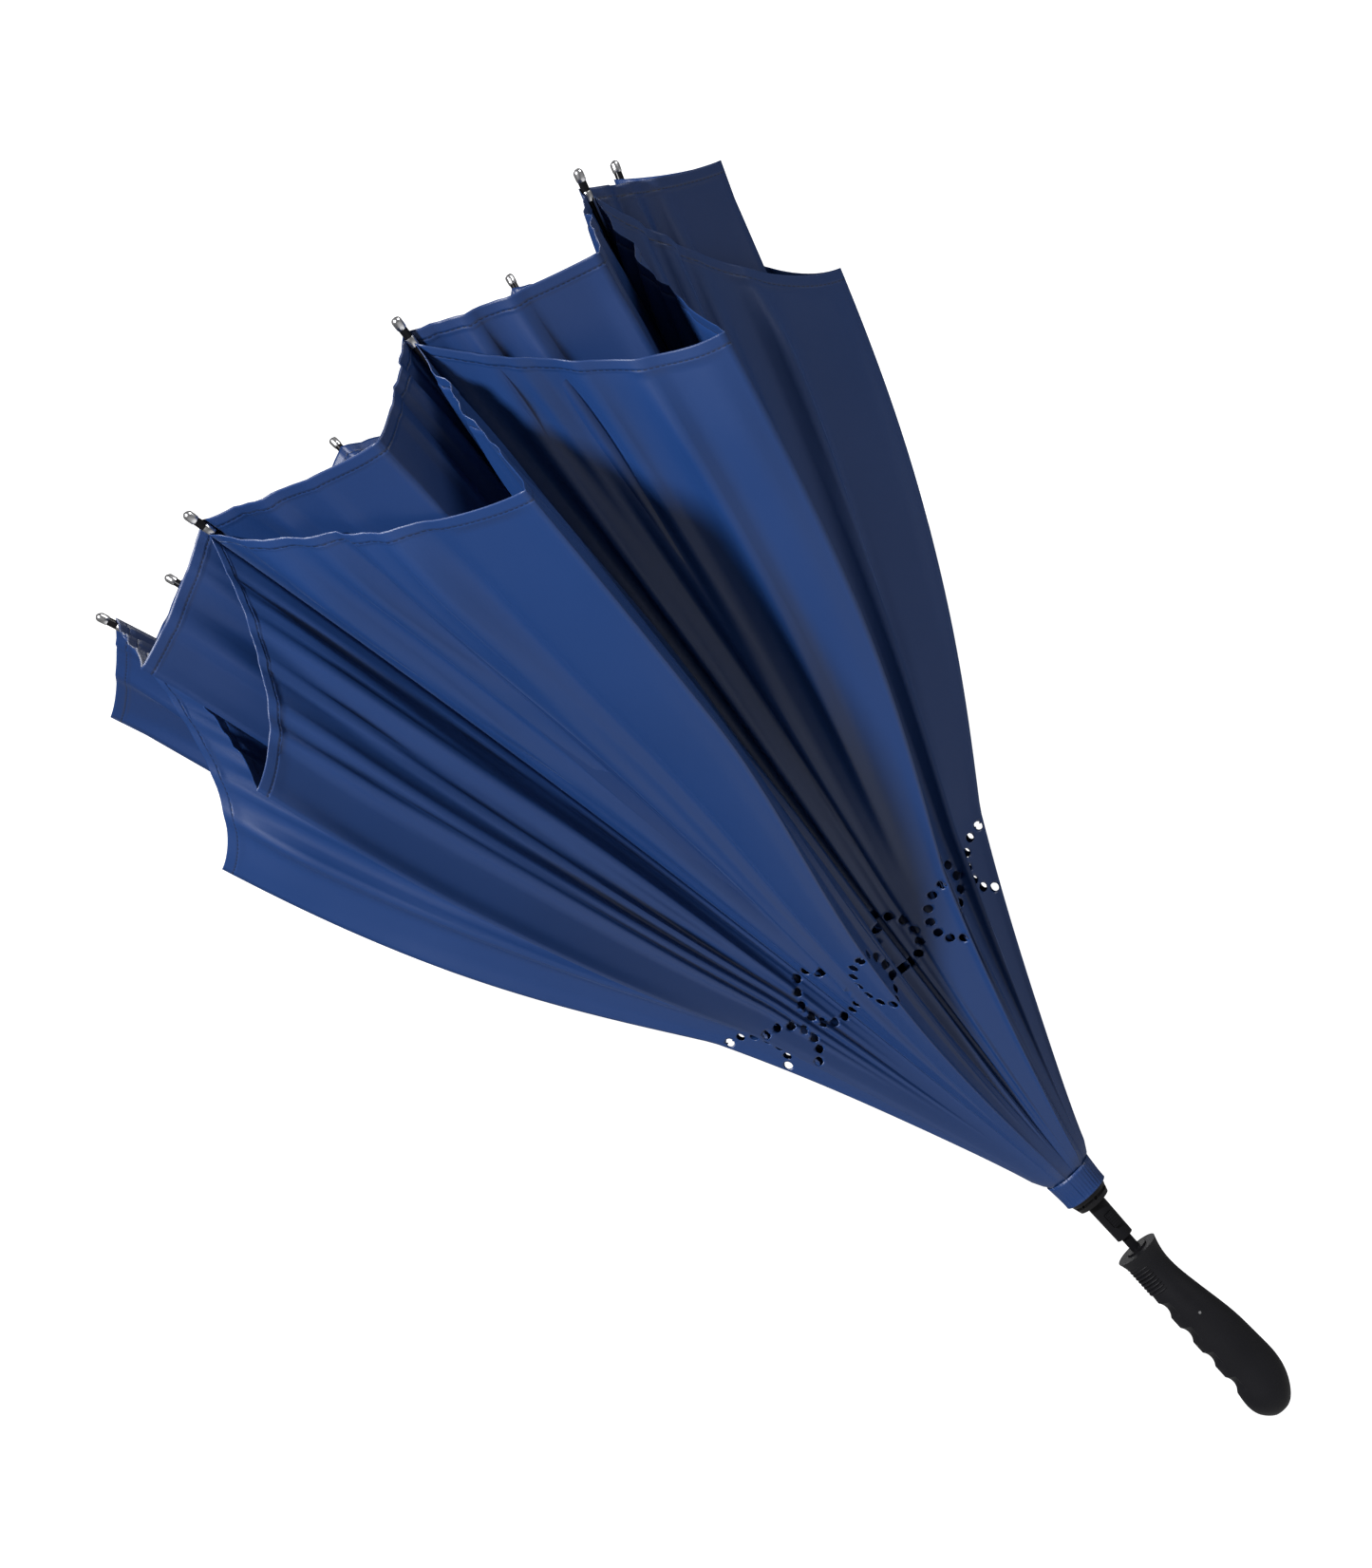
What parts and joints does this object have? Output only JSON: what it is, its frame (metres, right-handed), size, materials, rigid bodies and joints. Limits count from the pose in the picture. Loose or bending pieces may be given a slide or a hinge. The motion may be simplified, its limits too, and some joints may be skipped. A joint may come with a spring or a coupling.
{
  "type": "stick umbrella",
  "caption": "Inverted stick umbrella, half folded: two skins of navy cloth on hinged ribs, a sliding runner with a catch and a straight grooved rubber grip.",
  "frame": {"origin": "on the shaft axis at the centre of the palm grip", "axes": "+Z along the shaft from the handle to the top notch; +X through the first rib and the back of the grip; finger grooves face -X"},
  "size_m": [0.5018, 0.5018, 0.8534],
  "materials": {
    "lining_cloth": "navy satin pongee",
    "canopy_cloth": "navy pongee",
    "rib_rod": "black fibreglass rod with nickel tip",
    "stretcher_bar": "black enamelled steel",
    "shaft_glass": "black satin lacquer",
    "grip_rubber": "matt soft-touch rubber",
    "black_moulding": "moulded black nylon",
    "pin_steel": "nickel plated"
  },
  "bodies": {
    "stick": {"shaft": "shaft_glass", "handle_grip": "grip_rubber", "handle_core": "black_moulding", "handle_pin": "pin_steel", "top_notch": "black_moulding", "top_cap": "black_moulding", "canopy_washer": "pin_steel"},
    "runner": {"runner_hub": "black_moulding", "runner_sleeve": "black_moulding", "lining_clamp": "black_moulding"},
    "catch": {"catch_button": "black_moulding"},
    "stretcher_1": {"stretcher_1": "stretcher_bar"},
    "rib_1": {"rib_1": "rib_rod"},
    "gore_1_left": {"lining_1_left": "lining_cloth", "canopy_1_left": "canopy_cloth"},
    "gore_1_right": {"lining_1_right": "lining_cloth", "canopy_1_right": "canopy_cloth"},
    "stretcher_2": {"stretcher_2": "stretcher_bar"},
    "rib_2": {"rib_2": "rib_rod"},
    "gore_2_left": {"lining_2_left": "lining_cloth", "canopy_2_left": "canopy_cloth"},
    "gore_2_right": {"lining_2_right": "lining_cloth", "canopy_2_right": "canopy_cloth"},
    "stretcher_3": {"stretcher_3": "stretcher_bar"},
    "rib_3": {"rib_3": "rib_rod"},
    "gore_3_left": {"lining_3_left": "lining_cloth", "canopy_3_left": "canopy_cloth"},
    "gore_3_right": {"lining_3_right": "lining_cloth", "canopy_3_right": "canopy_cloth"},
    "stretcher_4": {"stretcher_4": "stretcher_bar"},
    "rib_4": {"rib_4": "rib_rod"},
    "gore_4_left": {"lining_4_left": "lining_cloth", "canopy_4_left": "canopy_cloth"},
    "gore_4_right": {"lining_4_right": "lining_cloth", "canopy_4_right": "canopy_cloth"},
    "stretcher_5": {"stretcher_5": "stretcher_bar"},
    "rib_5": {"rib_5": "rib_rod"},
    "gore_5_left": {"lining_5_left": "lining_cloth", "canopy_5_left": "canopy_cloth"},
    "gore_5_right": {"lining_5_right": "lining_cloth", "canopy_5_right": "canopy_cloth"},
    "stretcher_6": {"stretcher_6": "stretcher_bar"},
    "rib_6": {"rib_6": "rib_rod"},
    "gore_6_left": {"lining_6_left": "lining_cloth", "canopy_6_left": "canopy_cloth"},
    "gore_6_right": {"lining_6_right": "lining_cloth", "canopy_6_right": "canopy_cloth"},
    "stretcher_7": {"stretcher_7": "stretcher_bar"},
    "rib_7": {"rib_7": "rib_rod"},
    "gore_7_left": {"lining_7_left": "lining_cloth", "canopy_7_left": "canopy_cloth"},
    "gore_7_right": {"lining_7_right": "lining_cloth", "canopy_7_right": "canopy_cloth"},
    "stretcher_8": {"stretcher_8": "stretcher_bar"},
    "rib_8": {"rib_8": "rib_rod"},
    "gore_8_left": {"lining_8_left": "lining_cloth", "canopy_8_left": "canopy_cloth"},
    "gore_8_right": {"lining_8_right": "lining_cloth", "canopy_8_right": "canopy_cloth"}
  },
  "joints": [
    {"name": "open_fold", "type": "hinge", "parent": "stick", "child": "stretcher_1", "pos_m": [0.009, 0, 0.54942], "axis": [0, -1, 0], "range_deg": [-6.3, 71.73]},
    {"name": "rib_1_joint", "type": "hinge", "parent": "stretcher_1", "child": "rib_1", "pos_m": [0.06323, 0, 0.33621], "axis": [0, 1, 0], "range_deg": [-12.61, 143.47]},
    {"name": "runner_pivot", "type": "hinge", "parent": "rib_1", "child": "runner", "pos_m": [0.009, 0, 0.123], "axis": [0, -1, 0], "range_deg": [-6.31, 71.74]},
    {"name": "rib_2_pivot", "type": "hinge", "parent": "runner", "child": "rib_2", "pos_m": [0.00636, 0.00636, 0.123], "axis": [-0.7071, 0.7071, 0], "range_deg": [-6.31, 71.74]},
    {"name": "stretcher_2_joint", "type": "hinge", "parent": "rib_2", "child": "stretcher_2", "pos_m": [0.04471, 0.04471, 0.33621], "axis": [0.7071, -0.7071, 0], "range_deg": [-12.61, 143.47]},
    {"name": "rib_3_pivot", "type": "hinge", "parent": "runner", "child": "rib_3", "pos_m": [0, 0.009, 0.123], "axis": [-1, 0, 0], "range_deg": [-6.31, 71.74]},
    {"name": "stretcher_3_joint", "type": "hinge", "parent": "rib_3", "child": "stretcher_3", "pos_m": [0, 0.06323, 0.33621], "axis": [1, 0, 0], "range_deg": [-12.61, 143.47]},
    {"name": "rib_4_pivot", "type": "hinge", "parent": "runner", "child": "rib_4", "pos_m": [-0.00636, 0.00636, 0.123], "axis": [-0.7071, -0.7071, 0], "range_deg": [-6.31, 71.74]},
    {"name": "stretcher_4_joint", "type": "hinge", "parent": "rib_4", "child": "stretcher_4", "pos_m": [-0.04471, 0.04471, 0.33621], "axis": [0.7071, 0.7071, 0], "range_deg": [-12.61, 143.47]},
    {"name": "rib_5_pivot", "type": "hinge", "parent": "runner", "child": "rib_5", "pos_m": [-0.009, 0, 0.123], "axis": [0, -1, 0], "range_deg": [-6.31, 71.74]},
    {"name": "stretcher_5_joint", "type": "hinge", "parent": "rib_5", "child": "stretcher_5", "pos_m": [-0.06323, 0, 0.33621], "axis": [0, 1, 0], "range_deg": [-12.61, 143.47]},
    {"name": "rib_6_pivot", "type": "hinge", "parent": "runner", "child": "rib_6", "pos_m": [-0.00636, -0.00636, 0.123], "axis": [0.7071, -0.7071, 0], "range_deg": [-6.31, 71.74]},
    {"name": "stretcher_6_joint", "type": "hinge", "parent": "rib_6", "child": "stretcher_6", "pos_m": [-0.04471, -0.04471, 0.33621], "axis": [-0.7071, 0.7071, 0], "range_deg": [-12.61, 143.47]},
    {"name": "rib_7_pivot", "type": "hinge", "parent": "runner", "child": "rib_7", "pos_m": [0, -0.009, 0.123], "axis": [1, 0, 0], "range_deg": [-6.31, 71.74]},
    {"name": "stretcher_7_joint", "type": "hinge", "parent": "rib_7", "child": "stretcher_7", "pos_m": [0, -0.06323, 0.33621], "axis": [-1, 0, 0], "range_deg": [-12.61, 143.47]},
    {"name": "rib_8_pivot", "type": "hinge", "parent": "runner", "child": "rib_8", "pos_m": [0.00636, -0.00636, 0.123], "axis": [0.7071, 0.7071, 0], "range_deg": [-6.31, 71.74]},
    {"name": "stretcher_8_joint", "type": "hinge", "parent": "rib_8", "child": "stretcher_8", "pos_m": [0.04471, -0.04471, 0.33621], "axis": [-0.7071, -0.7071, 0], "range_deg": [-12.61, 143.47]},
    {"name": "gore_1_left_fold", "type": "hinge", "parent": "rib_1", "child": "gore_1_left", "pos_m": [0.009, 0, 0.123], "axis": [0.6991, -0.5059, 0.5054], "range_deg": [-2.33, 26.47]},
    {"name": "gore_1_right_fold", "type": "hinge", "parent": "rib_1", "child": "gore_1_right", "pos_m": [0.009, 0, 0.123], "axis": [-0.6991, -0.5059, -0.5054], "range_deg": [-2.33, 26.47]},
    {"name": "gore_2_left_fold", "type": "hinge", "parent": "rib_2", "child": "gore_2_left", "pos_m": [0.00636, 0.00636, 0.123], "axis": [0.852, 0.1366, 0.5054], "range_deg": [-2.33, 26.47]},
    {"name": "gore_2_right_fold", "type": "hinge", "parent": "rib_2", "child": "gore_2_right", "pos_m": [0.00636, 0.00636, 0.123], "axis": [-0.1366, -0.852, -0.5054], "range_deg": [-2.33, 26.47]},
    {"name": "gore_3_left_fold", "type": "hinge", "parent": "rib_3", "child": "gore_3_left", "pos_m": [0, 0.009, 0.123], "axis": [0.5059, 0.6991, 0.5054], "range_deg": [-2.33, 26.47]},
    {"name": "gore_3_right_fold", "type": "hinge", "parent": "rib_3", "child": "gore_3_right", "pos_m": [0, 0.009, 0.123], "axis": [0.5059, -0.6991, -0.5054], "range_deg": [-2.33, 26.47]},
    {"name": "gore_4_left_fold", "type": "hinge", "parent": "rib_4", "child": "gore_4_left", "pos_m": [-0.00636, 0.00636, 0.123], "axis": [-0.1366, 0.852, 0.5054], "range_deg": [-2.33, 26.47]},
    {"name": "gore_4_right_fold", "type": "hinge", "parent": "rib_4", "child": "gore_4_right", "pos_m": [-0.00636, 0.00636, 0.123], "axis": [0.852, -0.1366, -0.5054], "range_deg": [-2.33, 26.47]},
    {"name": "gore_5_left_fold", "type": "hinge", "parent": "rib_5", "child": "gore_5_left", "pos_m": [-0.009, 0, 0.123], "axis": [-0.6991, 0.5059, 0.5054], "range_deg": [-2.33, 26.47]},
    {"name": "gore_5_right_fold", "type": "hinge", "parent": "rib_5", "child": "gore_5_right", "pos_m": [-0.009, 0, 0.123], "axis": [0.6991, 0.5059, -0.5054], "range_deg": [-2.33, 26.47]},
    {"name": "gore_6_left_fold", "type": "hinge", "parent": "rib_6", "child": "gore_6_left", "pos_m": [-0.00636, -0.00636, 0.123], "axis": [-0.852, -0.1366, 0.5054], "range_deg": [-2.33, 26.47]},
    {"name": "gore_6_right_fold", "type": "hinge", "parent": "rib_6", "child": "gore_6_right", "pos_m": [-0.00636, -0.00636, 0.123], "axis": [0.1366, 0.852, -0.5054], "range_deg": [-2.33, 26.47]},
    {"name": "gore_7_left_fold", "type": "hinge", "parent": "rib_7", "child": "gore_7_left", "pos_m": [0, -0.009, 0.123], "axis": [-0.5059, -0.6991, 0.5054], "range_deg": [-2.33, 26.47]},
    {"name": "gore_7_right_fold", "type": "hinge", "parent": "rib_7", "child": "gore_7_right", "pos_m": [0, -0.009, 0.123], "axis": [-0.5059, 0.6991, -0.5054], "range_deg": [-2.33, 26.47]},
    {"name": "gore_8_left_fold", "type": "hinge", "parent": "rib_8", "child": "gore_8_left", "pos_m": [0.00636, -0.00636, 0.123], "axis": [0.1366, -0.852, 0.5054], "range_deg": [-2.33, 26.47]},
    {"name": "gore_8_right_fold", "type": "hinge", "parent": "rib_8", "child": "gore_8_right", "pos_m": [0.00636, -0.00636, 0.123], "axis": [-0.852, 0.1366, -0.5054], "range_deg": [-2.33, 26.47]},
    {"name": "catch_press", "type": "slide", "parent": "runner", "child": "catch", "axis": [0, 1, 0], "range_m": [0, 0.0012], "stiffness_N_per_m": 400}
  ],
  "couplings": [
    {"joint": "rib_1_joint", "follows": "open_fold", "ratio": 2},
    {"joint": "runner_pivot", "follows": "open_fold", "ratio": 1},
    {"joint": "rib_2_pivot", "follows": "open_fold", "ratio": 1},
    {"joint": "stretcher_2_joint", "follows": "open_fold", "ratio": 2},
    {"joint": "rib_3_pivot", "follows": "open_fold", "ratio": 1},
    {"joint": "stretcher_3_joint", "follows": "open_fold", "ratio": 2},
    {"joint": "rib_4_pivot", "follows": "open_fold", "ratio": 1},
    {"joint": "stretcher_4_joint", "follows": "open_fold", "ratio": 2},
    {"joint": "rib_5_pivot", "follows": "open_fold", "ratio": 1},
    {"joint": "stretcher_5_joint", "follows": "open_fold", "ratio": 2},
    {"joint": "rib_6_pivot", "follows": "open_fold", "ratio": 1},
    {"joint": "stretcher_6_joint", "follows": "open_fold", "ratio": 2},
    {"joint": "rib_7_pivot", "follows": "open_fold", "ratio": 1},
    {"joint": "stretcher_7_joint", "follows": "open_fold", "ratio": 2},
    {"joint": "rib_8_pivot", "follows": "open_fold", "ratio": 1},
    {"joint": "stretcher_8_joint", "follows": "open_fold", "ratio": 2},
    {"joint": "gore_1_left_fold", "follows": "open_fold", "ratio": 0.36882},
    {"joint": "gore_1_right_fold", "follows": "open_fold", "ratio": 0.36882},
    {"joint": "gore_2_left_fold", "follows": "open_fold", "ratio": 0.36882},
    {"joint": "gore_2_right_fold", "follows": "open_fold", "ratio": 0.36882},
    {"joint": "gore_3_left_fold", "follows": "open_fold", "ratio": 0.36882},
    {"joint": "gore_3_right_fold", "follows": "open_fold", "ratio": 0.36882},
    {"joint": "gore_4_left_fold", "follows": "open_fold", "ratio": 0.36882},
    {"joint": "gore_4_right_fold", "follows": "open_fold", "ratio": 0.36882},
    {"joint": "gore_5_left_fold", "follows": "open_fold", "ratio": 0.36882},
    {"joint": "gore_5_right_fold", "follows": "open_fold", "ratio": 0.36882},
    {"joint": "gore_6_left_fold", "follows": "open_fold", "ratio": 0.36882},
    {"joint": "gore_6_right_fold", "follows": "open_fold", "ratio": 0.36882},
    {"joint": "gore_7_left_fold", "follows": "open_fold", "ratio": 0.36882},
    {"joint": "gore_7_right_fold", "follows": "open_fold", "ratio": 0.36882},
    {"joint": "gore_8_left_fold", "follows": "open_fold", "ratio": 0.36882},
    {"joint": "gore_8_right_fold", "follows": "open_fold", "ratio": 0.36882}
  ]
}
